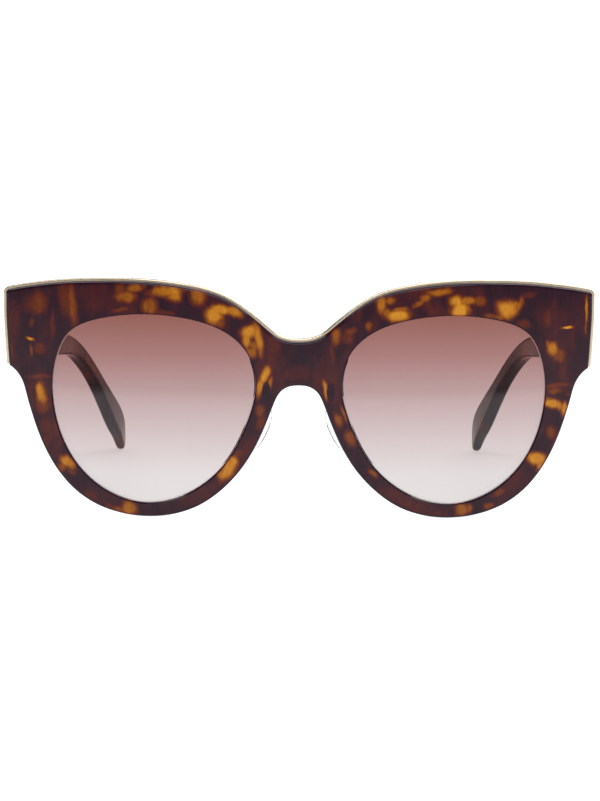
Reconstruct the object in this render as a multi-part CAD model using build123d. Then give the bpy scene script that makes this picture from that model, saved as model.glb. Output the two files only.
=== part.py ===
from build123d import *

# Cat eye sunglasses: a tortoiseshell acetate front with a thin metal trim along its brow and
# outer sides, two gradient lenses held by a bevel in a groove, two clear nose pads on metal
# arms, and two acetate temples with a metal core, each on a five knuckle hinge.
#
# The row frame, in millimetres: +Z up, +X to the right of someone facing the front, +Y from
# the front towards the temple tips. The glasses stand open on z = 0, on the lower rims and the
# temple tips, with the origin under the middle of their box. Parts are designed with y = 0 at
# the foremost point of the bridge, and moved to the middle when they are written.
# Every one-sided part is designed on the +X side; its twin is a mirror image.

import os
from math import asin, cos, hypot, radians, sin, sqrt, tan

# ---------------------------------------------------------------- driving dimensions

# Front
WRAP_RADIUS = 280.0        # the front is bent round a vertical cylinder
FRONT_THICKNESS = 4.5
HALF_WIDTH = 73.9          # outside of the trim
BRIDGE_TOP_Z = 44.7
BRIDGE_BOTTOM_Z = 33.2
CORNER_CENTRE_Z = 55.15
CORNER_RADIUS = 1.6        # upper outer corner
CORNER_ANGLE = 77.6        # degrees, where the brow runs into the corner
EDGE_ROUND = 0.8           # polished outer edges, in front
BACK_ROUND = 0.6           # and behind
RIM_BEVEL = 0.35           # small bevel round each lens opening, in front
RIM_ROUND = 0.5            # and its rounding behind

# Half outlines of the front, from the middle outwards, as (x, z)
BROW_EDGE = [(5.4, 45.9), (8.4, 48.3), (11.3, 50.7), (19.2, 55.8), (27.2, 57.95), (35.2, 59.0),
             (43.2, 59.3), (51.2, 59.15), (59.3, 58.7), (67.4, 57.7)]
LOWER_EDGE = [(2.4, 32.9), (4.4, 31.7), (6.0, 29.0), (7.6, 24.8), (10.2, 18.8), (13.6, 13.0),
              (19.2, 6.8), (25.2, 2.7), (31.2, 0.65), (38.0, 0.0), (45.2, 0.9), (51.2, 3.1),
              (57.3, 7.6), (62.0, 13.8), (65.0, 20.0), (67.0, 25.8), (68.2, 30.0),
              (69.05, 32.9), (70.55, 35.4)]
LUG_SIDE = [(73.9, 50.0), (73.6, 44.0), (73.1, 37.0)]

# Lens opening on the +X side, as seen from the front
LENS_OPENING = [(61.5, 32.0), (60.9, 38.0), (57.4, 45.6), (48.5, 49.5), (36.0, 50.5),
                (27.0, 49.4), (19.6, 47.0), (13.1, 41.6), (10.7, 33.0), (12.7, 24.2),
                (18.3, 13.6), (27.6, 6.0), (38.0, 3.5), (48.4, 6.7), (56.9, 15.2)]
LENS_CENTRE = (36.0, 27.0)
LENS_RADIUS = 133.0        # base 4 curve
LENS_THICKNESS = 2.0
LENS_PROUD = 0.6           # the middle of the lens stands this far in front of the rim
LENS_GAP = 0.05            # between the lens and the opening
LENS_CHAMFER = 0.25        # ground round its front edge
BEVEL_DEPTH = 0.5          # how far the lens edge reaches into the rim
BEVEL_WIDTH = 0.8
GROOVE_GAP = 0.03

# Brow trim
TRIM_PROUD = 0.65          # stands out of the acetate's edge
TRIM_INLAID = 0.45         # lies in a channel in the edge
TRIM_DEPTH = 2.3           # front to back
TRIM_SETBACK = 1.1         # behind the front's face
TRIM_ROUND = 0.2           # its two proud edges
TRIM_END_Z = 37.3
TRIM_PEG_RADIUS = 0.6
TRIM_PEG_ENDS = [(22.0, 53.0), (52.0, 55.4)]

# Lug: the thick block behind each end piece
LUG_BACK_Y = 15.5
LUG_INNER_X = 60.6
LUG_BOTTOM_Z = 38.0
LUG_ROUND = 3.0
LUG_INSET = 0.03           # the lug's sides lie this far inside the front's outline

# Hinge
TOE_IN = 5.0               # degrees, temples converge towards the tips
AXIS_X, AXIS_Y = 67.0, 17.6
AXIS_OFFSET = 2.1          # from the hinge axis to the temple's inner face
KNUCKLE_RADIUS = 1.7
KNUCKLE_COUNT = 5
HINGE_BOTTOM_Z, HINGE_TOP_Z = 41.3, 49.8
KNUCKLE_GAP = 0.04
PLATE_THICKNESS = 1.0
PLATE_MARGIN = 0.8         # the plates are this much taller than the knuckles, at each end
PLATE_ROUND = 1.5
FRONT_PLATE_X = (62.9, 69.7)
TEMPLE_PLATE_U = (-0.6, 9.4)
ANCHOR_WIDTH, ANCHOR_DEPTH = 1.2, 2.2
SCREW_RADIUS = 0.7
SCREW_CLEARANCE = 0.04
HEAD_RADIUS, HEAD_HEIGHT = 1.3, 0.6
SLOT_WIDTH, SLOT_DEPTH = 0.35, 0.3

# Temple, in its own frame: u runs back from the hinge axis, z is height
BUTT_GAP = 0.1
TEMPLE_LOWER = [(-2.6, 39.5), (46.0, 34.6), (66.0, 32.6), (81.4, 30.5), (90.5, 26.2),
                (96.4, 21.8), (101.3, 16.8), (105.6, 11.6), (109.9, 6.7), (114.5, 2.4)]
TEMPLE_UPPER = [(-2.6, 55.4), (6.0, 54.8), (16.0, 51.8), (30.0, 46.8), (45.0, 42.4),
                (62.0, 39.1), (80.3, 35.8), (89.3, 32.4), (95.0, 28.9), (105.9, 20.5),
                (112.1, 15.8), (117.1, 11.4)]
TEMPLE_TIP = [(116.9, 0.25), (118.7, 1.4), (119.5, 4.3), (119.3, 7.8)]
BUTT_THICKNESS, TIP_THICKNESS = 4.0, 3.4
FLAT_SHAVE = 0.03          # the outer side is dead flat for its front third, this far in
DROP_ANGLE = 46.5          # degrees below level, past the ear bend
LEAN_ANGLE = 11.0          # degrees, the tips lean towards the head
LEAN_START, LEAN_END = 22.0, 42.0                            # along the drop's direction
TAPER_START, TAPER_END, TAPER = 68.0, 81.0, 1.3              # the tip thins on its inner side
TEMPLE_ROUND = 1.0

# Core wire
CORE_HEIGHT, CORE_THICKNESS = 1.8, 1.2
CORE_PATH = [(11.0, 45.0), (30.0, 41.2), (62.0, 35.9), (81.0, 33.3), (93.0, 27.2),
             (103.0, 18.2), (111.0, 10.2)]

# Nose pads
PAD_CENTRE = (10.1, 11.2, 21.0)
PAD_LENGTH, PAD_WIDTH, PAD_THICKNESS = 12.8, 7.4, 2.0
PAD_FRONTAL, PAD_SPLAY = 27.0, 28.0                          # degrees
PAD_ROUND = 0.9
PAD_PIVOT = 1.95           # from the middle of the pad out to its screw
CORE_PLATE = (7.0, 3.4, 0.7)
PAD_LUG_RADIUS, PAD_LUG_WIDTH = 0.8, 1.4
PAD_SCREW_RADIUS = 0.4
PAD_HEAD_RADIUS, PAD_HEAD_HEIGHT = 0.75, 0.4
EAR_GAP, EAR_THICKNESS = 0.1, 0.45
EAR_NEAR, EAR_FAR = 0.65, 1.45                               # from the screw, to the pad and away
EAR_HALF_LENGTH = 0.95
WIRE_RADIUS = 0.55
FOOT_CENTRE = (8.0, 31.7)
FOOT_SIZE = (2.2, 4.8)
FOOT_DEPTH = 2.0


# ---------------------------------------------------------------- helpers

def front_y(x, behind=0.0):
    """y of a surface the given distance behind the front's face, at x."""
    return WRAP_RADIUS - sqrt((WRAP_RADIUS - behind) ** 2 - x * x)


def flipped(points):
    """The same points on the -X side, in the reverse order."""
    return [(-x, z) for x, z in reversed(points)]


def through(sketch, first=-5.0, last=30.0):
    """A sketch drawn in (x, z), extruded from y = first to y = last."""
    return extrude(Plane.XZ.offset(-first) * sketch, amount=last - first, dir=(0, 1, 0))


def slab(near, far):
    """The curved layer between two distances behind the front's face."""
    def drum(behind):
        return Pos(0, WRAP_RADIUS, 0) * Cylinder(WRAP_RADIUS - behind, 300)
    return drum(near) - drum(far)


def on_drum(edge, behind):
    """True for an edge that lies on the cylinder the given distance behind the face."""
    def off(point):
        return abs(hypot(point.X, point.Y - WRAP_RADIUS) - (WRAP_RADIUS - behind))
    return all(off(edge.position_at(t)) < 0.01 for t in (0.0, 0.3, 0.5, 0.7, 1.0))


def block(x0, x1, y0, y1, z0, z1):
    """A box between two corners."""
    return Pos((x0 + x1) / 2, (y0 + y1) / 2, (z0 + z1) / 2) * Box(x1 - x0, y1 - y0, z1 - z0)


def upright(radius, z0, z1):
    """A vertical cylinder on the origin's axis, between two heights."""
    return Pos(0, 0, (z0 + z1) / 2) * Cylinder(radius, z1 - z0)


def other_side(solid):
    return mirror(solid, Plane.YZ)


def both(solid):
    return solid + other_side(solid)


# ---------------------------------------------------------------- the front's outlines

def outline(inset=0.0):
    """The front's outline. inset pulls the brow and the outer sides in, where the trim lies."""
    def pulled(points):
        """The points moved in by inset, square to the line through their neighbours."""
        moved = []
        for i, (x, z) in enumerate(points):
            xa, za = points[max(i - 1, 0)]
            xb, zb = points[min(i + 1, len(points) - 1)]
            length = hypot(xb - xa, zb - za)
            moved.append((x + inset * (zb - za) / length, z - inset * (xb - xa) / length))
        return moved

    brow = pulled([(0, BRIDGE_TOP_Z)] + BROW_EDGE)[1:]
    radius = CORNER_RADIUS - inset
    corner = [(HALF_WIDTH - CORNER_RADIUS + radius * cos(radians(a)),
               CORNER_CENTRE_Z + radius * sin(radians(a))) for a in (CORNER_ANGLE, 38, 0)]
    fall = (sin(radians(CORNER_ANGLE)), cos(radians(CORNER_ANGLE)))
    side = [(x - inset, z) for x, z in LUG_SIDE]
    lower = LOWER_EDGE + side[-1:]
    brow_line = Spline(*flipped(brow + corner[:1]), (0, BRIDGE_TOP_Z - inset), *brow, corner[0],
                       tangents=[fall, (fall[0], -fall[1])])
    lower_line = Spline(*flipped(lower), (0, BRIDGE_BOTTOM_Z), *lower)
    edges = [brow_line, lower_line]
    for sign in (1, -1):
        bend = [(sign * x, z) for x, z in corner]
        down = [(sign * x, z) for x, z in corner[-1:] + side]
        edges += [ThreePointArc(*bend), Spline(*down, tangents=[(0, -1), (-sign * 0.1, -1)])]
    return make_face(edges)


def lens_face(grow=0.0):
    """The lens opening, grown by a distance square to its edge."""
    count = len(LENS_OPENING)
    points = []
    for i, (x, z) in enumerate(LENS_OPENING):
        xa, za = LENS_OPENING[i - 1]
        xb, zb = LENS_OPENING[(i + 1) % count]
        length = hypot(xb - xa, zb - za)
        points.append((x + grow * (zb - za) / length, z - grow * (xb - xa) / length))
    return make_face(Spline(*points, periodic=True))


# ---------------------------------------------------------------- lenses

def lens_layer(near, far):
    """The layer between two depths of the lens, as spheres about one centre."""
    x, z = LENS_CENTRE
    lean = asin(x / WRAP_RADIUS)
    centre = (x - LENS_RADIUS * sin(lean), front_y(x) - LENS_PROUD + LENS_RADIUS * cos(lean), z)
    shell = Pos(*centre) * (Sphere(LENS_RADIUS - near) - Sphere(LENS_RADIUS - far))
    return shell & block(0, 75, -5, 25, -5, 70)


def lens():
    """The lens: a meniscus with a chamfered edge, and a tongue that sits in the rim's groove."""
    middle, half = LENS_THICKNESS / 2, BEVEL_WIDTH / 2
    body = through(lens_face(-LENS_GAP)) & lens_layer(0, LENS_THICKNESS)
    rounds = [e for e in body.edges() if e.length > 50]
    body = chamfer(min(rounds, key=lambda e: e.center().Y), LENS_CHAMFER)
    return body + (through(lens_face(BEVEL_DEPTH)) & lens_layer(middle - half, middle + half))


def lens_groove():
    """The groove in the rim that takes the lens's tongue."""
    middle, half = LENS_THICKNESS / 2, BEVEL_WIDTH / 2 + GROOVE_GAP
    return through(lens_face(BEVEL_DEPTH + GROOVE_GAP)) & lens_layer(middle - half, middle + half)


# ---------------------------------------------------------------- brow trim

def brow_trim():
    """The metal strip along the brow and the outer sides, with pegs that hold it in the edge."""
    band = outline() - outline(TRIM_PROUD + TRIM_INLAID)
    above = Pos(0, TRIM_END_Z + 50) * Rectangle(200, 100)
    arch = Pos(0, 30) * Rectangle(10, 18)
    faces = (TRIM_SETBACK, TRIM_SETBACK + TRIM_DEPTH)

    def is_proud(edge):
        x, z = abs(edge.center().X), edge.center().Z
        outside = x > HALF_WIDTH - TRIM_PROUD or x < 1 and z > BRIDGE_TOP_Z - TRIM_PROUD
        return outside and any(on_drum(edge, behind) for behind in faces)

    strip = through(band & above - arch) & slab(*faces)
    strip = fillet([e for e in strip.edges() if is_proud(e)], TRIM_ROUND)
    for x, z in TRIM_PEG_ENDS:
        peg = Pos(x, front_y(x, TRIM_SETBACK + TRIM_DEPTH / 2), 0) * upright(TRIM_PEG_RADIUS, z, 65)
        strip += both(peg & through(outline(TRIM_PROUD)))
    return strip


# ---------------------------------------------------------------- acetate front

def lug():
    """The block behind the +X end piece, with a flat back for the hinge and the temple."""
    x, y = LUG_INNER_X, LUG_BACK_Y
    near = front_y(x) + 2.0
    plan = make_face([Line((x - 3.6, near), (80.0, near)), Line((80.0, near), (80.0, y)),
                      Line((80.0, y), (x + 1.4, y)),
                      Spline((x + 1.4, y), (x - 3.6, near), tangents=[(-1, 0), (-0.5, -1)])])
    window = Pos(x - 5 + 15, LUG_BOTTOM_Z + 15) * RectangleRounded(30, 30, LUG_ROUND)
    sides = through(window & outline(TRIM_PROUD + LUG_INSET))
    return extrude(plan, amount=80) & sides & slab(1.5, 60)


def front_blank():
    """The acetate, with its polished edges, before anything is let into it."""
    def is_opening(edge):
        return 10 < abs(edge.center().X) < 60 and 15 < edge.center().Z < 40

    plate = through(outline(TRIM_PROUD)) & slab(0, FRONT_THICKNESS)
    for behind, radius in ((FRONT_THICKNESS, BACK_ROUND), (0, EDGE_ROUND)):
        plate = fillet([e for e in plate.edges() if on_drum(e, behind)], radius)
    blank = plate + both(lug()) - both(through(lens_face()))
    blank = chamfer([e for e in blank.edges() if on_drum(e, 0) and is_opening(e)], RIM_BEVEL)
    behind = [e for e in blank.edges() if on_drum(e, FRONT_THICKNESS) and is_opening(e)]
    return fillet(behind, RIM_ROUND)


def front_frame(trim, hinge_leaf, arm):
    """The acetate with its grooves, its channel for the trim and its pockets for the metal."""
    frame = front_blank() - trim
    for cut_out in (lens_groove(), hinge_leaf, arm):
        frame = frame - cut_out - other_side(cut_out)
    return frame


# ---------------------------------------------------------------- hinges

def knuckles(first):
    """Every second knuckle from the given one, as its lowest and highest z."""
    pitch = (HINGE_TOP_Z - HINGE_BOTTOM_Z + KNUCKLE_GAP) / KNUCKLE_COUNT
    return [(HINGE_BOTTOM_Z + k * pitch, HINGE_BOTTOM_Z + (k + 1) * pitch - KNUCKLE_GAP)
            for k in range(first, KNUCKLE_COUNT, 2)]


def front_hinge():
    """The leaf let into the back of the lug: plate, two anchors and three knuckles."""
    x0, x1 = FRONT_PLATE_X
    z0, z1 = HINGE_BOTTOM_Z - PLATE_MARGIN, HINGE_TOP_Z + PLATE_MARGIN
    face = Pos((x0 + x1) / 2, (z0 + z1) / 2) * RectangleRounded(x1 - x0, z1 - z0, PLATE_ROUND)
    leaf = through(face, LUG_BACK_Y - PLATE_THICKNESS, LUG_BACK_Y)
    for x in (x0 + 1.6, x1 - 1.6):
        y = LUG_BACK_Y - PLATE_THICKNESS
        leaf += block(x - ANCHOR_WIDTH / 2, x + ANCHOR_WIDTH / 2, y - ANCHOR_DEPTH, y,
                      z0 + 1.5, z1 - 1.5)
    bore = Pos(AXIS_X, AXIS_Y, 0) * upright(SCREW_RADIUS, 30, 60)
    for low, high in knuckles(0):
        leaf += Pos(AXIS_X, AXIS_Y, 0) * upright(KNUCKLE_RADIUS, low, high)
        leaf += block(AXIS_X - KNUCKLE_RADIUS, AXIS_X + KNUCKLE_RADIUS, LUG_BACK_Y - 0.5, AXIS_Y,
                      low, high)
    return leaf - bore


def placed(solid):
    """From the temple's own frame to its open place."""
    return Pos(AXIS_X, AXIS_Y, 0) * Rot(0, 0, TOE_IN) * solid


def in_side_view(sketch, low=-40.0, high=40.0):
    """A sketch drawn in the temple's (u, z), extruded across from x = low to x = high."""
    plane = Plane(origin=(low, 0, 0), x_dir=(0, 1, 0), z_dir=(1, 0, 0))
    return extrude(plane * sketch, amount=high - low)


def temple_hinge():
    """The leaf let into the temple's inner face: plate, two anchors and two knuckles."""
    u0, u1 = TEMPLE_PLATE_U
    z0, z1 = HINGE_BOTTOM_Z - PLATE_MARGIN, HINGE_TOP_Z - 0.3
    face = Pos((u0 + u1) / 2, (z0 + z1) / 2) * RectangleRounded(u1 - u0, z1 - z0, PLATE_ROUND)
    leaf = in_side_view(face, AXIS_OFFSET, AXIS_OFFSET + PLATE_THICKNESS)
    for low, high in knuckles(1):
        leaf += upright(KNUCKLE_RADIUS, low, high)
        leaf += block(0, AXIS_OFFSET + 0.5, -KNUCKLE_RADIUS, KNUCKLE_RADIUS, low, high)
    for u in (u0 + 4.6, u1 - 2.0):
        x = AXIS_OFFSET + PLATE_THICKNESS
        leaf += block(x, x + 1.2, u - 0.6, u + 0.6, z0 + 2.0, z1 - 2.0)
    return leaf - upright(SCREW_RADIUS + SCREW_CLEARANCE, 30, 60)


def hinge_screw():
    screw = upright(SCREW_RADIUS, HINGE_BOTTOM_Z, HINGE_TOP_Z)
    screw += upright(HEAD_RADIUS, HINGE_TOP_Z, HINGE_TOP_Z + HEAD_HEIGHT)
    top = HINGE_TOP_Z + HEAD_HEIGHT
    screw = chamfer(screw.edges().filter_by(GeomType.CIRCLE).group_by(Axis.Z)[-1], 0.15)
    screw -= block(-2, 2, -SLOT_WIDTH / 2, SLOT_WIDTH / 2, top - SLOT_DEPTH, top + 1)
    return Pos(AXIS_X, AXIS_Y, 0) * screw


# ---------------------------------------------------------------- temples

def lean(s):
    """How far the drop has come in towards the head, at s along its direction."""
    slope, half = tan(radians(LEAN_ANGLE)), (LEAN_END - LEAN_START) / 2
    if s > LEAN_END:
        return slope * (s - LEAN_START - half)
    return slope * max(s - LEAN_START, 0.0) ** 2 / (4 * half)


def temple_layer(inner, outer, tip_inner, tip_outer, taper=0.0):
    """The bent layer between two offsets from the inner face; each closes in towards the tip.

    Its profile is drawn with x along the drop's direction and y outwards from the hinge axis.
    """
    def edge(near, far, thinning=0.0):
        stations = (-60, -40, -20, 0, 12, 22, 27, 32, 37, 42, 52, 60, 68, 75, 81, 90)
        points = []
        for s in stations:
            along = (s - TAPER_START) / (TAPER_END - TAPER_START)
            worn = thinning * min(max(along, 0.0), 1.0) ** 2
            points.append((s, AXIS_OFFSET + near + (far - near) * max(s, 0) / 95 - lean(s) + worn))
        return Spline(*points)

    inside, outside = edge(inner, tip_inner, taper), edge(outer, tip_outer)
    profile = make_face([inside, outside, Line(inside @ 0, outside @ 0),
                         Line(inside @ 1, outside @ 1)])
    a = radians(DROP_ANGLE)
    plane = Plane(origin=(0, 0, 0), x_dir=(0, cos(a), -sin(a)), z_dir=(0, -sin(a), -cos(a)))
    return extrude(plane * profile, amount=160, both=True)


def temple_blank():
    rim = Spline(*TEMPLE_LOWER, *TEMPLE_TIP, *reversed(TEMPLE_UPPER))
    side = in_side_view(make_face([rim, Line(rim @ 0, rim @ 1)]))
    return side & temple_layer(0.0, BUTT_THICKNESS, 0.0, TIP_THICKNESS, TAPER)


def core_wire():
    """The flat wire in the middle of the temple's thickness."""
    path = Spline(*CORE_PATH)
    ribbon = trace(path, line_width=CORE_HEIGHT)
    middle = BUTT_THICKNESS / 2 + 0.3
    tip_middle = TIP_THICKNESS / 2
    half = CORE_THICKNESS / 2
    return in_side_view(ribbon) & temple_layer(middle - half, middle + half,
                                               tip_middle - half, tip_middle + half)


def temple(leaf, core):
    """The temple with rounded edges, cut flat at its butt and hollowed for its metal."""
    body = temple_blank()
    body = fillet([e for e in body.edges() if e.length > 50], TEMPLE_ROUND)
    body &= block(-80, AXIS_OFFSET + BUTT_THICKNESS - FLAT_SHAVE, -50, 200, -10, 80)
    body = placed(body) & block(0, 100, LUG_BACK_Y + BUTT_GAP, 200, -10, 80)
    return body - leaf - core


# ---------------------------------------------------------------- nose pads

def pad_plane():
    """The pad's own frame: x towards its top, y across it to the back, z out to its screw."""
    f, s = radians(PAD_FRONTAL), radians(PAD_SPLAY)
    up = (-sin(f), 0, cos(f))
    out = (cos(f) * cos(s), -sin(s), sin(f) * cos(s))
    return Plane(origin=PAD_CENTRE, x_dir=up, z_dir=out)


def pad_shape():
    """An oval, a little fuller at its foot."""
    l, w = PAD_LENGTH / 2, PAD_WIDTH / 2
    return make_face(Spline((l, 0), (0.55 * l, 0.82 * w), (-0.2 * l, w), (-0.8 * l, 0.7 * w), (-l, 0),
                            (-0.8 * l, -0.7 * w), (-0.2 * l, -w), (0.55 * l, -0.82 * w),
                            periodic=True))


def pad_core():
    length, width, thickness = CORE_PLATE
    plate = extrude(RectangleRounded(length, width, width / 2 - 0.1), amount=thickness)
    pivot = Pos(0, 0, PAD_PIVOT) * Rot(90, 0, 0) * Cylinder(PAD_LUG_RADIUS, PAD_LUG_WIDTH)
    neck = Pos(0, 0, PAD_PIVOT / 2) * Box(2 * PAD_LUG_RADIUS, PAD_LUG_WIDTH, PAD_PIVOT)
    bore = Pos(0, 0, PAD_PIVOT) * Rot(90, 0, 0) * Cylinder(PAD_SCREW_RADIUS + 0.04, 5)
    return plate + pivot + neck - bore


def nose_pad(core):
    pad = extrude(pad_shape(), amount=PAD_THICKNESS / 2, both=True)
    pad = fillet(pad.edges(), PAD_ROUND)
    return pad - core


def pad_screw():
    half = PAD_LUG_WIDTH / 2 + EAR_GAP + EAR_THICKNESS
    shaft = Cylinder(PAD_SCREW_RADIUS, 2 * half)
    head = Pos(0, 0, half + PAD_HEAD_HEIGHT / 2) * Cylinder(PAD_HEAD_RADIUS, PAD_HEAD_HEIGHT)
    slot = Pos(0, 0, half + PAD_HEAD_HEIGHT) * Box(2, 0.22, 0.4)
    return Pos(0, 0, PAD_PIVOT) * Rot(-90, 0, 0) * (shaft + head - slot)


def pad_box():
    """The fork that holds the pad's lug, with a wall behind it."""
    inside = PAD_LUG_WIDTH / 2 + EAR_GAP
    low, high = PAD_PIVOT - EAR_NEAR, PAD_PIVOT + EAR_FAR
    length, half = EAR_HALF_LENGTH, inside + EAR_THICKNESS
    box = block(-length, length, -half, half, low, high)
    box -= block(-5, 5, -inside, inside, -5, high - EAR_THICKNESS)
    return box - Pos(0, 0, PAD_PIVOT) * Rot(90, 0, 0) * Cylinder(PAD_SCREW_RADIUS, 5)


def pad_arm():
    """The fork, the bent wire and the oval foot that is let into the acetate."""
    x, z = FOOT_CENTRE
    plane = pad_plane()
    back = front_y(x, FRONT_THICKNESS)
    foot = Pos(x, z) * SlotOverall(FOOT_SIZE[1], FOOT_SIZE[0], 90)
    foot = through(foot, back - FOOT_DEPTH, back + 0.25)
    end = plane.from_local_coords((0.45, 0, PAD_PIVOT + EAR_FAR - 0.2))
    path = Spline((x, back - 0.5, z), (x + 0.3, back + 2.6, z - 0.9), end,
                  tangents=[(0, 1, 0), plane.from_local_coords((-1, 0, -0.2)) - plane.origin])
    wire = sweep(Plane(origin=path @ 0, z_dir=path % 0) * Circle(WIRE_RADIUS), path=path)
    return foot + wire + plane * pad_box()


# ---------------------------------------------------------------- assembly

def one_side():
    """Every part of the +X side, by name."""
    plane = pad_plane()
    core = plane * pad_core()
    leaf = placed(temple_hinge())
    wire = placed(core_wire())
    return {
        "lens": lens(),
        "nose_pad": plane * nose_pad(pad_core()),
        "pad_core": core,
        "pad_arm": pad_arm(),
        "pad_screw": plane * pad_screw(),
        "front_hinge": front_hinge(),
        "temple_hinge": leaf,
        "hinge_screw": hinge_screw(),
        "temple": temple(leaf, wire),
        "core_wire": wire,
    }


def assembly():
    side = one_side()
    trim = brow_trim()
    parts = {"front_frame": front_frame(trim, side["front_hinge"], side["pad_arm"]),
             "brow_trim": trim}
    for name, solid in side.items():
        parts[name + "_left"] = solid
        parts[name + "_right"] = other_side(solid)
    return parts


if __name__ == "__main__":
    os.makedirs("parts", exist_ok=True)
    parts = assembly()
    depth = max(part.bounding_box().max.Y for part in parts.values())
    for name, part in parts.items():
        solids = part.solids()
        print(name, len(solids), round(part.volume, 2), part.is_valid)
        shape = solids[0] if len(solids) == 1 else Compound(children=solids)
        export_step(Pos(0, -depth / 2, 0) * shape, "parts/" + name + ".step")
    print("depth", depth)
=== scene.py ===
from math import pi, radians

import bpy
from mathutils import Matrix, Vector


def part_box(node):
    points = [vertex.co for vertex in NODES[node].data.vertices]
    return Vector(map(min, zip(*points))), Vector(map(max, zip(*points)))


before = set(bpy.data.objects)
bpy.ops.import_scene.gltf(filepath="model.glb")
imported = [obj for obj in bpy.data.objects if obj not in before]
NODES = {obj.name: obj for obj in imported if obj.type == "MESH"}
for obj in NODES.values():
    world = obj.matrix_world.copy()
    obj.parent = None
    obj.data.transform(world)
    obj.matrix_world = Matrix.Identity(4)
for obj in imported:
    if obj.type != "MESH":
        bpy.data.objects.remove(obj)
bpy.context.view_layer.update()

# Cat eye sunglasses. Every shape comes from the CAD frame; this script gives each piece its
# procedural material and sets up the floor, the soft light and the camera.
# Lengths are in metres in the row frame: +X right, +Y towards the temple tips, +Z up.

MM = 0.001


# ---------------------------------------------------------------- colours

def linear(red, green, blue):
    """A colour given as 0 to 255 display values, as linear light."""
    def channel(value):
        value /= 255.0
        return value / 12.92 if value <= 0.04045 else ((value + 0.055) / 1.055) ** 2.4
    return (channel(red), channel(green), channel(blue), 1.0)


# ---------------------------------------------------------------- node helpers

def add(tree, kind, **values):
    """A node of the kind, with its properties set."""
    node = tree.nodes.new("ShaderNode" + kind)
    for name, value in values.items():
        setattr(node, name, value)
    return node


def put(tree, socket, value):
    """Links an output to a socket, or sets the socket's value."""
    if isinstance(value, bpy.types.NodeSocket):
        tree.links.new(value, socket)
    else:
        socket.default_value = value


def compute(tree, operation, *values):
    """The output of a Math node."""
    node = add(tree, "Math", operation=operation)
    for socket, value in zip(node.inputs, values):
        put(tree, socket, value)
    return node.outputs[0]


def vector(tree, operation, *values):
    """The output of a Vector Math node."""
    node = add(tree, "VectorMath", operation=operation)
    for socket, value in zip(node.inputs, values):
        put(tree, socket, value)
    return node.outputs["Value" if operation in ("LENGTH", "DISTANCE") else "Vector"]


def scaled(tree, place, factor):
    """A vector times a number."""
    node = add(tree, "VectorMath", operation="SCALE")
    put(tree, node.inputs[0], place)
    put(tree, node.inputs["Scale"], factor)
    return node.outputs[0]


def noise(tree, place, size, detail=2.0, stretch=(1, 1, 1), output="Fac", distortion=0.0):
    """Noise whose features are about the size, in metres, stretched along each axis."""
    node = add(tree, "TexNoise")
    put(tree, node.inputs["Vector"], vector(tree, "DIVIDE", place, stretch))
    put(tree, node.inputs["Scale"], 1.0 / size)
    put(tree, node.inputs["Detail"], detail)
    put(tree, node.inputs["Distortion"], distortion)
    return node.outputs[output]


def ranged(tree, value, low, high, to_low=0.0, to_high=1.0, smooth=True):
    """A value carried from low..high to to_low..to_high, and held there outside."""
    node = add(tree, "MapRange")
    if smooth:
        node.interpolation_type = "SMOOTHSTEP"
    for socket, given in zip(node.inputs, (value, low, high, to_low, to_high)):
        put(tree, socket, given)
    return node.outputs[0]


def ramp(tree, value, stops):
    """Colours between stops given as (position, colour)."""
    node = add(tree, "ValToRGB")
    put(tree, node.inputs[0], value)
    elements = node.color_ramp.elements
    while len(elements) > 1:
        elements.remove(elements[-1])
    elements[0].position, elements[0].color = stops[0]
    for position, colour in stops[1:]:
        elements.new(position).color = colour
    return node.outputs[0]


def bump(tree, height, strength, distance):
    """A normal that follows a height, in metres times the distance."""
    node = add(tree, "Bump")
    put(tree, node.inputs["Height"], height)
    put(tree, node.inputs["Strength"], strength)
    put(tree, node.inputs["Distance"], distance)
    return node.outputs[0]


def material(name):
    """A new material, its tree, its Principled shader and where the piece's surface is."""
    made = bpy.data.materials.new(name)
    made.use_nodes = True
    tree = made.node_tree
    tree.nodes.clear()
    shader = add(tree, "BsdfPrincipled")
    output = add(tree, "OutputMaterial")
    tree.links.new(shader.outputs[0], output.inputs["Surface"])
    place = add(tree, "TexCoord").outputs["Object"]
    return made, tree, shader, place


def dress(names, made):
    """Gives the CAD nodes of these names the material."""
    for name in names:
        node = NODES[name]
        node.data.materials.clear()
        node.data.materials.append(made)


def pair(name):
    """The names of the left and the right one."""
    return (name + "_left", name + "_right")


# ---------------------------------------------------------------- tortoiseshell acetate

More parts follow.
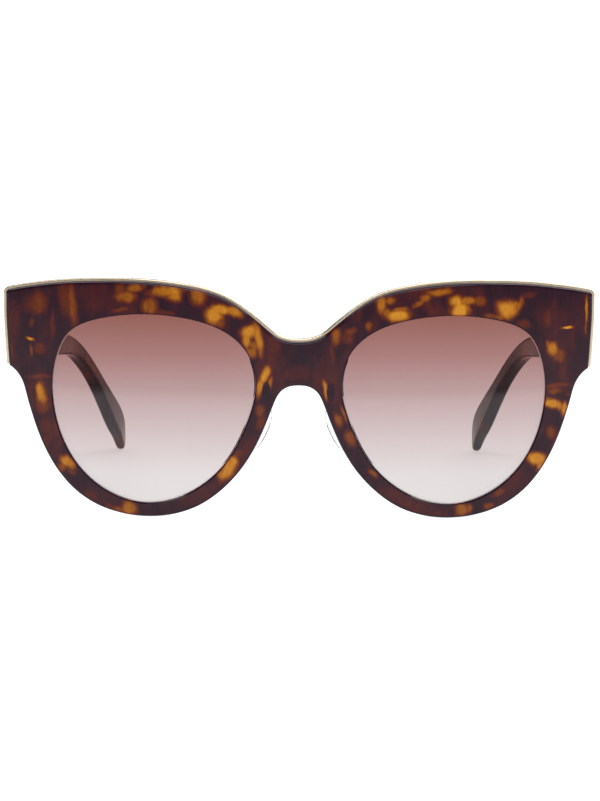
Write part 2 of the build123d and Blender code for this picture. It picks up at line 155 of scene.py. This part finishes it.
# Amber clouds in the front's sheet, seen from in front: (x, z, half width, half height) in mm,
# tilt in degrees anticlockwise, and how far from brown to amber the cloud goes.
# A few thin bright ones on the end pieces are painted glints of the hinges.
CLOUDS_AND_GLINTS = [
    # left end piece and brow
    (-65.0, 53.6, 1.8, 1.9, 0, 0.50), (-57.6, 55.0, 1.5, 3.2, 8, 0.40),
    (-55.6, 52.8, 0.8, 4.0, 4, 0.58), (-50.5, 54.8, 5.0, 3.0, 0, 0.25),
    (-42.6, 55.2, 2.0, 1.1, 0, 0.72), (-40.4, 57.2, 1.7, 0.8, 10, 0.72),
    (-44.0, 57.0, 1.0, 1.2, 0, 0.50), (-44.2, 51.9, 1.7, 0.5, 5, 0.50),
    (-36.9, 52.9, 1.5, 1.6, 0, 0.72), (-34.2, 51.2, 2.2, 0.5, -3, 0.45),
    (-33.0, 56.4, 3.0, 1.0, 6, 0.86), (-30.9, 55.4, 1.3, 1.2, 0, 0.80),
    (-24.8, 55.2, 1.6, 1.8, 15, 0.74), (-20.9, 50.6, 1.5, 1.9, 0, 0.92),
    (-19.2, 52.2, 1.9, 0.9, 0, 0.92), (-16.2, 51.8, 1.7, 0.8, -25, 0.85),
    (-19.6, 49.0, 0.9, 1.3, 20, 0.62), (-12.2, 46.5, 1.7, 1.1, 0, 0.94),
    (-10.0, 45.3, 0.8, 2.4, 12, 0.90), (-12.9, 45.0, 0.8, 1.6, 0, 0.88),
    (-11.0, 43.5, 1.2, 1.0, 0, 0.72), (-11.9, 41.6, 1.1, 1.2, 0, 0.76),
    (-9.4, 42.3, 0.6, 1.6, 10, 0.66), (-8.3, 35.8, 0.8, 1.9, -22, 0.92),
    (-9.5, 32.8, 0.7, 1.9, -8, 0.88), (-6.9, 33.4, 0.4, 1.6, 0, 0.80),
    (-9.3, 26.9, 0.8, 1.1, 0, 0.56), (-8.9, 24.2, 0.9, 1.6, -15, 0.40),
    # left side and lower rim
    # (-66.0, 42.1) on this line and (-66.2, 44.8) on the next are painted glints of the left hinge.
    (-63.8, 42.4, 1.0, 1.1, 0, 0.44), (-66.0, 42.1, 0.3, 1.1, 0, 0.56),
    (-66.2, 44.8, 0.8, 0.3, -12, 1.00), (-65.9, 48.9, 0.5, 0.9, 0, 0.46),
    (-71.2, 42.2, 0.3, 1.6, 0, 0.40), (-61.0, 48.5, 0.5, 2.6, 0, 0.36),
    (-64.0, 35.2, 2.3, 0.5, 3, 0.44), (-66.6, 32.4, 1.7, 0.5, 0, 0.32),
    (-63.6, 30.9, 1.0, 2.1, 6, 0.86), (-63.2, 28.0, 1.3, 1.6, 0, 0.52),
    (-62.2, 22.8, 1.5, 1.6, 0, 0.35), (-64.0, 19.6, 1.5, 1.5, 0, 0.28),
    (-57.3, 13.6, 1.6, 1.0, -35, 0.86), (-58.8, 12.3, 1.0, 0.8, -20, 0.60),
    (-56.4, 11.3, 0.9, 0.6, -30, 0.46), (-42.1, 2.4, 1.6, 1.6, 0, 0.78),
    (-44.4, 1.6, 1.6, 0.7, -18, 0.66), (-46.6, 2.6, 1.3, 0.6, -20, 0.46),
    (-24.6, 5.8, 4.2, 1.6, 28, 0.24), (-17.0, 12.5, 1.3, 2.4, -40, 0.95),
    (-15.8, 14.3, 0.9, 1.0, -30, 0.90), (-18.9, 10.9, 1.0, 0.8, 0, 0.84),
    (-14.6, 16.3, 0.8, 0.8, 0, 0.46), (-20.5, 8.4, 1.6, 1.0, 35, 0.30),
    # bridge
    (-6.6, 43.6, 1.4, 2.4, 18, 0.33), (0.0, 36.4, 3.0, 1.5, 0, 0.30),
    (8.8, 45.3, 0.8, 1.8, -12, 0.72), (7.9, 41.8, 0.4, 2.4, 0, 0.42),
    (11.6, 44.6, 1.4, 1.0, 0, 0.42), (12.6, 46.4, 1.1, 0.7, 20, 0.52),
    # right brow
    (17.2, 47.8, 0.7, 1.0, -15, 0.64), (20.6, 53.6, 0.9, 1.8, 0, 0.86),
    (22.4, 54.7, 1.1, 0.8, 20, 0.70), (21.7, 51.5, 0.9, 0.9, 0, 0.76),
    (24.4, 50.8, 2.2, 1.0, 5, 0.96), (25.0, 52.3, 1.6, 0.5, 0, 0.70),
    (29.3, 53.8, 1.6, 0.5, 35, 0.68), (31.0, 55.2, 1.3, 0.7, 15, 0.70),
    (34.4, 56.6, 2.2, 0.7, 5, 0.80), (39.6, 51.8, 1.6, 1.8, 0, 1.00),
    (38.6, 54.2, 1.3, 1.1, 0, 0.92), (41.6, 54.5, 1.7, 0.8, 0, 0.76),
    (44.7, 54.6, 1.4, 1.0, 0, 0.60), (46.8, 50.8, 1.2, 0.5, -5, 0.56),
    (51.5, 52.8, 1.9, 1.6, 0, 0.94), (53.8, 53.6, 1.2, 1.0, 20, 0.76),
    (54.9, 54.8, 0.5, 1.1, 0, 0.64), (49.9, 54.0, 1.0, 0.6, 0, 0.60),
    (49.3, 50.6, 1.2, 0.5, 0, 0.62), (55.6, 49.0, 1.3, 0.8, -20, 0.46),
    (56.3, 56.3, 1.5, 0.6, 0, 0.36), (61.3, 50.5, 0.9, 1.6, 0, 0.42),
    # right side and lower rim
    (62.6, 42.8, 1.1, 1.3, 0, 0.86), (64.2, 41.3, 1.4, 1.3, 0, 0.62),
    # (66.2, 48.3) on this line is a painted glint of the right hinge.
    (61.4, 43.9, 0.5, 0.8, 0, 0.64), (66.2, 48.3, 1.1, 0.25, 4, 1.00),
    (70.9, 52.5, 0.3, 2.6, 0, 0.80), (70.8, 48.4, 0.25, 1.5, 0, 0.60),
    (64.0, 33.6, 2.5, 0.5, 3, 0.50), (63.2, 32.2, 1.5, 0.7, 0, 0.56),
    (67.0, 31.1, 0.9, 0.4, 0, 0.42), (63.0, 28.8, 2.1, 0.8, -22, 0.92),
    (65.7, 27.5, 0.6, 1.3, -10, 0.86), (61.6, 29.8, 0.8, 0.8, 0, 0.70),
    (62.3, 22.0, 0.9, 1.2, 0, 0.50), (63.8, 20.5, 0.5, 1.8, -22, 0.56),
    (59.1, 15.2, 2.0, 1.1, -8, 0.96), (60.4, 14.0, 0.9, 1.3, -20, 0.86),
    (57.4, 15.8, 0.8, 0.8, 0, 0.60), (49.8, 6.5, 1.3, 0.6, 30, 0.50),
    (47.3, 3.2, 1.0, 0.6, 20, 0.56), (40.8, 2.4, 1.2, 1.4, 0, 0.74),
    (42.5, 2.6, 0.5, 0.9, 0, 0.66), (27.0, 3.6, 1.6, 0.6, -10, 0.36),
    (24.0, 5.6, 3.4, 1.3, -25, 0.27), (18.6, 11.3, 1.0, 0.5, -42, 0.62),
    (9.7, 24.6, 0.7, 1.4, 22, 0.62), (13.0, 20.3, 1.0, 1.4, 25, 0.58),
    (11.1, 26.1, 0.3, 1.7, 20, 0.60), (6.4, 32.0, 0.4, 1.9, 8, 0.84),
]
SOFT_EDGE = 2.60           # a cloud fades out at this many times its half size
CLEAR_HEART = 0.50         # and is at its full strength inside this
RAGGED = 0.55              # how far noise pushes a cloud's edge in and out
BLEND = 0.12               # how softly one cloud runs into the next
FOOT = (8.0, 31.7, 1.1, 2.4)      # the pad arm's foot shows through the sheet as a dark oval
FOOT_DARK = 0.12           # what is left of the amber there
PAINTED_EDGE_SHADE = 0.3            # how much painted shade darkens the front's rounded and bevelled edges

# The places of the clouds and of the painted glints are as the camera sees them, so they are carried
# over to the bent front.
FRONT_RADIUS = 280         # mm
EYE_DISTANCE = 750         # mm
LOOK_DOWN = 0.1            # fall of the view for each mm back

# How much noise turns the sheet amber: the noise's low and high, and the amber at each.
FRONT_GROUND = (0.38, 0.78, 0.05, 0.40)
TEMPLE_GROUND = (0.44, 0.76, 0.20, 0.66)

HAVANA = [
    (0.00, linear(34, 12, 28)),
    (0.14, linear(50, 18, 32)),
    (0.28, linear(72, 24, 30)),
    (0.42, linear(92, 33, 20)),
    (0.58, linear(118, 56, 14)),
    (0.74, linear(154, 86, 14)),
    (0.90, linear(192, 120, 24)),
    (1.00, linear(214, 144, 42)),
]


def oval_group():
    """A node group: the greater of a field and one soft, tilted oval."""
    group = bpy.data.node_groups.new("amber_oval", "ShaderNodeTree")
    face = group.interface
    sockets = [("Place", "Vector"), ("Field", "Float"), ("Centre", "Vector"), ("Size", "Vector"),
               ("Tilt", "Float"), ("Strength", "Float"), ("Ragged", "Float")]
    for name, kind in sockets:
        face.new_socket(name=name, in_out="INPUT", socket_type="NodeSocket" + kind)
    face.new_socket(name="Field", in_out="OUTPUT", socket_type="NodeSocketFloat")
    given = group.nodes.new("NodeGroupInput").outputs
    turned = add(group, "VectorRotate", rotation_type="Y_AXIS")
    put(group, turned.inputs["Vector"], given["Place"])
    put(group, turned.inputs["Center"], given["Centre"])
    put(group, turned.inputs["Angle"], given["Tilt"])
    away = vector(group, "SUBTRACT", turned.outputs[0], given["Centre"])
    reach = vector(group, "LENGTH", vector(group, "MULTIPLY", away, given["Size"]))
    reach = compute(group, "ADD", reach, given["Ragged"])
    oval = ranged(group, reach, CLEAR_HEART, SOFT_EDGE, 1.0, 0.0)
    field = compute(group, "SMOOTH_MAX", compute(group, "MULTIPLY", oval, given["Strength"]),
                    given["Field"], BLEND)
    put(group, group.nodes.new("NodeGroupOutput").inputs[0], field)
    return group


def on_front(x, z):
    """The object's place for one seen at x, z: the front's ends lie back and look higher."""
    back = x * x / (2 * FRONT_RADIUS)
    return (x * (1 + back / EYE_DISTANCE) * MM, 0, (z - LOOK_DOWN * back) * MM)


def with_clouds_and_glints(tree, place, field, ragged):
    """The field with every amber cloud of the front laid over it, and the painted glints of the
    hinges.
    """
    group = oval_group()
    for x, z, half_width, half_height, tilt, strength in CLOUDS_AND_GLINTS:
        node = tree.nodes.new("ShaderNodeGroup")
        node.node_tree = group
        values = {"Place": place, "Field": field, "Centre": on_front(x, z),
                  "Size": (1 / (half_width * MM), 0, 1 / (half_height * MM)),
                  "Tilt": radians(tilt), "Strength": strength, "Ragged": ragged}
        for name, value in values.items():
            put(tree, node.inputs[name], value)
        field = node.outputs[0]
    return field


def with_feet(tree, place, field):
    """The field with the two dark ovals of the pad arms' feet."""
    x, z, half_width, half_height = FOOT
    mirrored = vector(tree, "ABSOLUTE", place)
    away = vector(tree, "SUBTRACT", mirrored, (x * MM, 0, z * MM))
    scale = (1 / (half_width * MM), 0, 1 / (half_height * MM))
    reach = vector(tree, "LENGTH", vector(tree, "MULTIPLY", away, scale))
    return compute(tree, "MULTIPLY", field, ranged(tree, reach, 0.75, 1.15, FOOT_DARK, 1.0))


def warped(tree, place, size, amount, stretch=(1, 1, 1)):
    """A place moved about by coloured noise."""
    colour = noise(tree, place, size, 2.0, stretch, "Color")
    shift = vector(tree, "SUBTRACT", colour, (0.5, 0.5, 0.5))
    return vector(tree, "ADD", place, scaled(tree, shift, amount))


def painted_edge_shade(tree):
    """Painted shade: 1 on the rounded and bevelled front edges, 0 on the faces and the sides."""
    turned = add(tree, "SeparateXYZ")
    put(tree, turned.inputs[0], add(tree, "TexCoord").outputs["Normal"])
    front = ranged(tree, turned.outputs["Y"], -0.94, -0.86)
    side = ranged(tree, turned.outputs["Y"], -0.50, -0.25, 1.0, 0.0)
    return compute(tree, "MULTIPLY", front, side)


def acetate(name, clouds, ground, gloss):
    """Polished tortoiseshell acetate, with the front's clouds and painted hinge glints or with noise
    alone, and painted shade on its edges that face partly forward.
    """
    made, tree, shader, place = material(name)
    folded = warped(tree, place, 8 * MM, 1.8 * MM, (1, 1, 1.3))
    folded = warped(tree, folded, 2.4 * MM, 0.9 * MM, (1, 1, 1.4))
    drift = noise(tree, folded, 10 * MM, 3.0, (1, 1, 1.6), distortion=0.6)
    field = ranged(tree, drift, *ground)
    if clouds:
        torn = noise(tree, place, 1.9 * MM, 3.0, (1, 1, 1.3))
        ragged = ranged(tree, torn, 0.2, 0.8, -RAGGED / 2, RAGGED / 2, smooth=False)
        field = with_clouds_and_glints(tree, folded, field, ragged)
        field = with_feet(tree, place, field)
    veil = noise(tree, place, 3.2 * MM, 3.0, (1, 1, 3.5))
    field = compute(tree, "ADD", field, ranged(tree, veil, 0.3, 0.7, -0.07, 0.07, smooth=False))
    wisp = noise(tree, place, 0.9 * MM, 2.0, (1, 1, 2.5))
    field = compute(tree, "ADD", field, ranged(tree, wisp, 0.3, 0.7, -0.03, 0.03, smooth=False))
    # Painted shade: the colour is darker on the edges that face partly forward.
    edge = compute(tree, "MULTIPLY", painted_edge_shade(tree), PAINTED_EDGE_SHADE)
    field = compute(tree, "SUBTRACT", field, edge)
    put(tree, shader.inputs["Base Color"], ramp(tree, field, HAVANA))
    rub = noise(tree, place, 3.0 * MM, 4.0)
    put(tree, shader.inputs["Roughness"], ranged(tree, rub, 0.3, 0.7, 0.07, 0.15))
    put(tree, shader.inputs["Normal"], bump(tree, noise(tree, place, 7 * MM, 1.0), 0.05, 0.2 * MM))
    put(tree, shader.inputs["Specular IOR Level"], gloss)
    put(tree, shader.inputs["IOR"], 1.48)
    return made


# ---------------------------------------------------------------- lenses

LENS_TINT = [
    (0.00, linear(204, 199, 199)),
    (0.16, linear(200, 194, 194)),
    (0.34, linear(188, 174, 175)),
    (0.56, linear(170, 145, 145)),
    (0.78, linear(151, 111, 109)),
    (1.00, linear(132, 84, 76)),
]


def gradient_lens():
    """Pale below, rose brown above. Lamps shine through it with its own tint."""
    made, tree, shader, place = material("gradient_lens")
    low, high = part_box("lens_left")
    height = add(tree, "SeparateXYZ")
    put(tree, height.inputs[0], place)
    drift = noise(tree, place, 20 * MM, 1.0)
    level = ranged(tree, height.outputs["Z"], low.z, high.z, smooth=False)
    level = compute(tree, "ADD", level, ranged(tree, drift, 0.0, 1.0, -0.006, 0.006, smooth=False))
    tint = ramp(tree, level, LENS_TINT)
    put(tree, shader.inputs["Base Color"], tint)
    put(tree, shader.inputs["Roughness"], 0.0)
    put(tree, shader.inputs["IOR"], 1.4)
    put(tree, shader.inputs["Transmission Weight"], 1.0)
    through = add(tree, "BsdfTransparent")
    put(tree, through.inputs[0], tint)
    lamp = add(tree, "LightPath")
    mix = add(tree, "MixShader")
    put(tree, mix.inputs[0], lamp.outputs["Is Shadow Ray"])
    put(tree, mix.inputs[1], shader.outputs[0])
    put(tree, mix.inputs[2], through.outputs[0])
    output = next(n for n in tree.nodes if n.type == "OUTPUT_MATERIAL")
    put(tree, output.inputs["Surface"], mix.outputs[0])
    return made


# ---------------------------------------------------------------- metals and pads

def metal(name, pale, dark, roughness, grain, stretch=(1, 1, 1)):
    """A metal whose colour and roughness drift a little, with fine grain along its length."""
    made, tree, shader, place = material(name)
    drift = noise(tree, place, 6 * MM, 2.0)
    put(tree, shader.inputs["Base Color"], ramp(tree, drift, [(0.3, dark), (0.7, pale)]))
    brushed = noise(tree, place, grain, 3.0, stretch)
    low, high = roughness
    put(tree, shader.inputs["Roughness"], ranged(tree, brushed, 0.3, 0.7, low, high))
    put(tree, shader.inputs["Metallic"], 1.0)
    put(tree, shader.inputs["Normal"], bump(tree, brushed, 0.08, 0.02 * MM))
    return made


def clear_silicone():
    """Soft clear silicone with a faint haze."""
    made, tree, shader, place = material("clear_silicone")
    haze = noise(tree, place, 3 * MM, 2.0)
    put(tree, shader.inputs["Base Color"],
        ramp(tree, haze, [(0.3, linear(244, 244, 246)), (0.7, linear(253, 253, 254))]))
    put(tree, shader.inputs["Roughness"], ranged(tree, haze, 0.3, 0.7, 0.0, 0.02))
    put(tree, shader.inputs["IOR"], 1.1)
    put(tree, shader.inputs["Transmission Weight"], 1.0)
    return made


def pad_insert():
    """The clear hard plastic plate moulded into each pad."""
    made, tree, shader, place = material("pad_insert")
    flow = noise(tree, place, 1.5 * MM, 2.0, (1, 1, 2.5))
    put(tree, shader.inputs["Base Color"],
        ramp(tree, flow, [(0.3, linear(236, 236, 240)), (0.7, linear(248, 248, 250))]))
    put(tree, shader.inputs["Roughness"], ranged(tree, flow, 0.3, 0.7, 0.0, 0.03))
    put(tree, shader.inputs["Transmission Weight"], 1.0)
    put(tree, shader.inputs["IOR"], 1.12)
    return made


def dress_everything():
    dress(["front_frame"], acetate("acetate_front", True, FRONT_GROUND, 0.24))
    dress(pair("temple"), acetate("acetate_temple", False, TEMPLE_GROUND, 0.10))
    dress(pair("lens"), gradient_lens())
    dress(["brow_trim"], metal("trim_metal", linear(222, 206, 182), linear(208, 190, 164),
                               (0.12, 0.24), 0.15 * MM, (8, 8, 1)))
    dress(pair("nose_pad"), clear_silicone())
    dress(pair("pad_core"), pad_insert())
    dress(pair("pad_arm"), metal("pad_arm_metal", linear(226, 208, 176), linear(206, 186, 150),
                                 (0.18, 0.32), 0.3 * MM))
    steel = metal("hinge_steel", linear(206, 204, 200), linear(176, 174, 172),
                  (0.22, 0.42), 0.12 * MM, (1, 1, 10))
    dress(pair("front_hinge") + pair("temple_hinge"), steel)
    dress(pair("hinge_screw") + pair("pad_screw"),
          metal("screw_steel", linear(222, 220, 216), linear(190, 188, 186),
                (0.12, 0.26), 0.2 * MM))
    dress(pair("core_wire"), metal("core_wire_metal", linear(200, 198, 196),
                                   linear(168, 166, 164), (0.25, 0.40), 0.3 * MM, (1, 8, 1)))


# ---------------------------------------------------------------- floor, light and camera

FLOOR_DROP = 0.02 * MM     # keeps the floor just clear of the rims and tips
FLOOR_X, FLOOR_NEAR, FLOOR_FAR = 1.6, -1.0, 1.6
FLOOR_GLOW = 0.95
GLOW_NEAR = 0.1
FADE_START, FADE_END = -0.37, -0.80      # Y between which the glow dies towards the camera


def floor():
    """A white light table. Its near end is dim, so the upper front mirrors a dim room."""
    mesh = bpy.data.meshes.new("floor")
    corners = [(-FLOOR_X, FLOOR_NEAR), (FLOOR_X, FLOOR_NEAR), (FLOOR_X, FLOOR_FAR),
               (-FLOOR_X, FLOOR_FAR)]
    mesh.from_pydata([(x, y, -FLOOR_DROP) for x, y in corners], [], [(0, 1, 2, 3)])
    plane = bpy.data.objects.new("floor", mesh)
    bpy.context.scene.collection.objects.link(plane)
    made, tree, shader, place = material("floor_white")
    grain = noise(tree, place, 0.4, 2.0)
    put(tree, shader.inputs["Base Color"],
        ramp(tree, grain, [(0.3, (0.24, 0.24, 0.24, 1)), (0.7, (0.26, 0.26, 0.26, 1))]))
    put(tree, shader.inputs["Roughness"], 0.7)
    put(tree, shader.inputs["Specular IOR Level"], 0.1)
    along = add(tree, "SeparateXYZ")
    put(tree, along.inputs[0], place)
    put(tree, shader.inputs["Emission Color"], (1, 1, 1, 1))
    put(tree, shader.inputs["Emission Strength"],
        ranged(tree, along.outputs["Y"], FADE_END, FADE_START, GLOW_NEAR, FLOOR_GLOW))
    mesh.materials.append(made)


def lamp(name, place, target, size, radiance):
    """A rectangular lamp that is equally bright at any size."""
    data = bpy.data.lights.new(name, "AREA")
    data.shape = "RECTANGLE"
    data.size, data.size_y = size
    data.energy = radiance * pi * size[0] * size[1]
    light = bpy.data.objects.new(name, data)
    bpy.context.scene.collection.objects.link(light)
    light.location = place
    light.rotation_euler = (Vector(target) - Vector(place)).to_track_quat("-Z", "Y").to_euler()


WHITE = 1.2                # strength of the background where it is looked at
FRONT_TO_BACK = (-0.4, 0.8, 0.25, 1.1)   # heading in Y, and the mirrored room's strength
LEFT_TO_RIGHT = (-0.02, 0.06, 0.30, 1.0)         # heading in X, and a factor on it


def studio():
    """White where it is looked at. What the pieces mirror is dim in front and on the left."""
    world = bpy.data.worlds.new("studio")
    bpy.context.scene.world = world
    world.use_nodes = True
    tree = world.node_tree
    background = tree.nodes["Background"]
    heading = add(tree, "SeparateXYZ")
    put(tree, heading.inputs[0], add(tree, "TexCoord").outputs["Generated"])
    room = ranged(tree, heading.outputs["Y"], *FRONT_TO_BACK)
    side = ranged(tree, heading.outputs["X"], *LEFT_TO_RIGHT)
    room = compute(tree, "MULTIPLY", room, side)
    ray = add(tree, "LightPath")
    seen = compute(tree, "MAXIMUM", ray.outputs["Is Camera Ray"], ray.outputs["Is Transmission Ray"])
    put(tree, background.inputs["Strength"],
        compute(tree, "MAXIMUM", room, compute(tree, "MULTIPLY", seen, WHITE)))
    put(tree, background.inputs["Color"], (1, 1, 1, 1))
    lamp("overhead", (0.0, 0.25, 1.5), (0.0, 0.25, 0.0), (2.2, 0.9), 5.0)
    lamp("front_fill", (0.0, -1.3, 1.1), (0.0, 0.0, 0.03), (1.2, 0.8), 3.0)


CAMERA_PLACE = (0.00033, -0.8184, 0.1130)
CAMERA_PITCH = 6.344       # degrees below level
CAMERA_ROLL = 0.3
CAMERA_LENS = 137.12       # mm, on a 36 mm sensor along the taller side


def camera():
    """A long lens in front of the glasses, a little above them and tipped down to them."""
    data = bpy.data.cameras.new("camera")
    data.lens = CAMERA_LENS
    data.sensor_width = 36.0
    data.clip_start, data.clip_end = 0.01, 50.0
    eye = bpy.data.objects.new("camera", data)
    bpy.context.scene.collection.objects.link(eye)
    eye.matrix_world = (Matrix.Translation(CAMERA_PLACE)
                        @ Matrix.Rotation(radians(90 - CAMERA_PITCH), 4, "X")
                        @ Matrix.Rotation(radians(CAMERA_ROLL), 4, "Z"))
    bpy.context.scene.camera = eye


bpy.context.scene.view_settings.view_transform = "Standard"
dress_everything()
floor()
studio()
camera()
